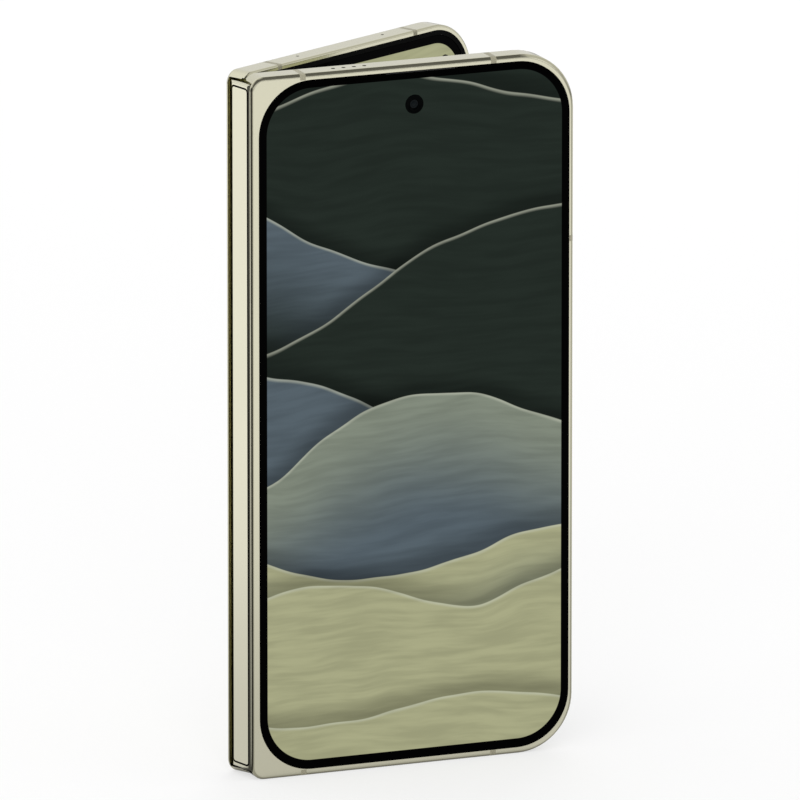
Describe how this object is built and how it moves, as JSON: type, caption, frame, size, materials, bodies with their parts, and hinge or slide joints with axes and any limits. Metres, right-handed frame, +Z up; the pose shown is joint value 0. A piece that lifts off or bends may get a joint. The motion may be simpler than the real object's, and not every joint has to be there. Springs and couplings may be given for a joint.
{
  "type": "foldable smartphone",
  "caption": "Book-style folding phone that stands a little open, with a cover display, a folding inner display, a hinged spine, side keys, a card tray and a rear camera island.",
  "frame": {"origin": "middle of the footprint, on the surface that the lower ends of both halves stand on", "axes": "+Z up along the hinge, -Y out of the cover display, +X from the hinge to the free edge of the front half"},
  "size_m": [0.0766, 0.043, 0.1552],
  "materials": {
    "frame_metal": "satin polished, champagne green",
    "spine_metal": "polished, champagne green",
    "key_metal": "satin polished, champagne green",
    "island_metal": "satin",
    "plate_metal": "bead blasted",
    "steel": "brushed",
    "screw_steel": "dark nickel",
    "shield_steel": "tinned",
    "magnet": "nickel plated",
    "switch_metal": "gold plated",
    "copper": "enamelled copper",
    "break_plastic": "matte, moulded flush",
    "black_plastic": "matte",
    "trim_black": "soft matte",
    "battery_pouch": "foil pouch, black wrap",
    "circuit_board": "solder mask",
    "camera_black": "gloss black",
    "flash": "diffuser",
    "cover_screen": "lit display",
    "inner_screen": "lit folding display",
    "cover_glass": "gloss",
    "back_glass": "satin matte back glass",
    "lens_glass": "gloss"
  },
  "bodies": {
    "spine": {"spine_cover": "spine_metal", "spine_plate": "spine_metal", "plate_seal": "trim_black", "hinge_brackets": "steel", "hinge_pins": "steel", "pin_nuts": "steel", "bracket_screws": "screw_steel", "display_fold": "inner_screen"},
    "front_half": {"front_frame": "frame_metal", "front_antenna_breaks": "break_plastic", "front_mid_plate": "plate_metal", "cover_glass": "cover_glass", "cover_display": "cover_screen", "cover_camera": "camera_black", "earpiece": "black_plastic", "front_battery": "battery_pouch", "front_board": "circuit_board", "front_connectors": "black_plastic", "front_display_trim": "trim_black", "inner_display_front": "inner_screen", "front_hinge_arms": "steel", "front_screws": "screw_steel", "sim_reader": "shield_steel", "front_magnets": "magnet"},
    "rear_half": {"rear_frame": "frame_metal", "rear_antenna_breaks": "break_plastic", "rear_mid_plate": "plate_metal", "back_glass": "back_glass", "camera_island": "island_metal", "camera_windows": "lens_glass", "camera_modules": "camera_black", "flash_led": "flash", "charging_coil": "copper", "rear_battery": "battery_pouch", "logic_board": "circuit_board", "shield_cans": "shield_steel", "rear_connectors": "black_plastic", "rear_magnets": "magnet", "usb_board": "circuit_board", "usb_shell": "shield_steel", "usb_tongue": "black_plastic", "speaker_module": "black_plastic", "microphones": "shield_steel", "haptic_motor": "shield_steel", "key_switches": "switch_metal", "inner_camera": "camera_black", "rear_display_trim": "trim_black", "inner_display_rear": "inner_screen", "rear_hinge_arms": "steel", "rear_screws": "screw_steel"},
    "power_key": {"power_key": "key_metal"},
    "volume_key": {"volume_key": "key_metal"},
    "sim_tray": {"sim_tray": "key_metal", "tray_seal": "black_plastic"}
  },
  "joints": [
    {"name": "front_fold", "type": "hinge", "parent": "spine", "child": "front_half", "pos_m": [-0.03432, -0.01817, 0.0776], "axis": [0, 0, -1], "range_deg": [-13.5, 76.5], "deforming": ["display_fold"]},
    {"name": "rear_fold", "type": "hinge", "parent": "spine", "child": "rear_half", "pos_m": [-0.0353, -0.01409, 0.0776], "axis": [0, 0, 1], "range_deg": [-13.5, 76.5]},
    {"name": "power_press", "type": "slide", "parent": "rear_half", "child": "power_key", "axis": [-0.891, -0.454, 0], "range_m": [0, 0.00025], "stiffness_N_per_m": 600},
    {"name": "volume_rock", "type": "hinge", "parent": "rear_half", "child": "volume_key", "pos_m": [0.02742, 0.01866, 0.076], "axis": [0.454, -0.891, 0], "range_deg": [-1, 1], "stiffness_Nm_per_rad": 0.03},
    {"name": "tray_slide", "type": "slide", "parent": "front_half", "child": "sim_tray", "axis": [1, 0, 0], "range_m": [0, 0.018]}
  ],
  "couplings": [
    {"joint": "rear_fold", "follows": "front_fold", "ratio": 1}
  ]
}
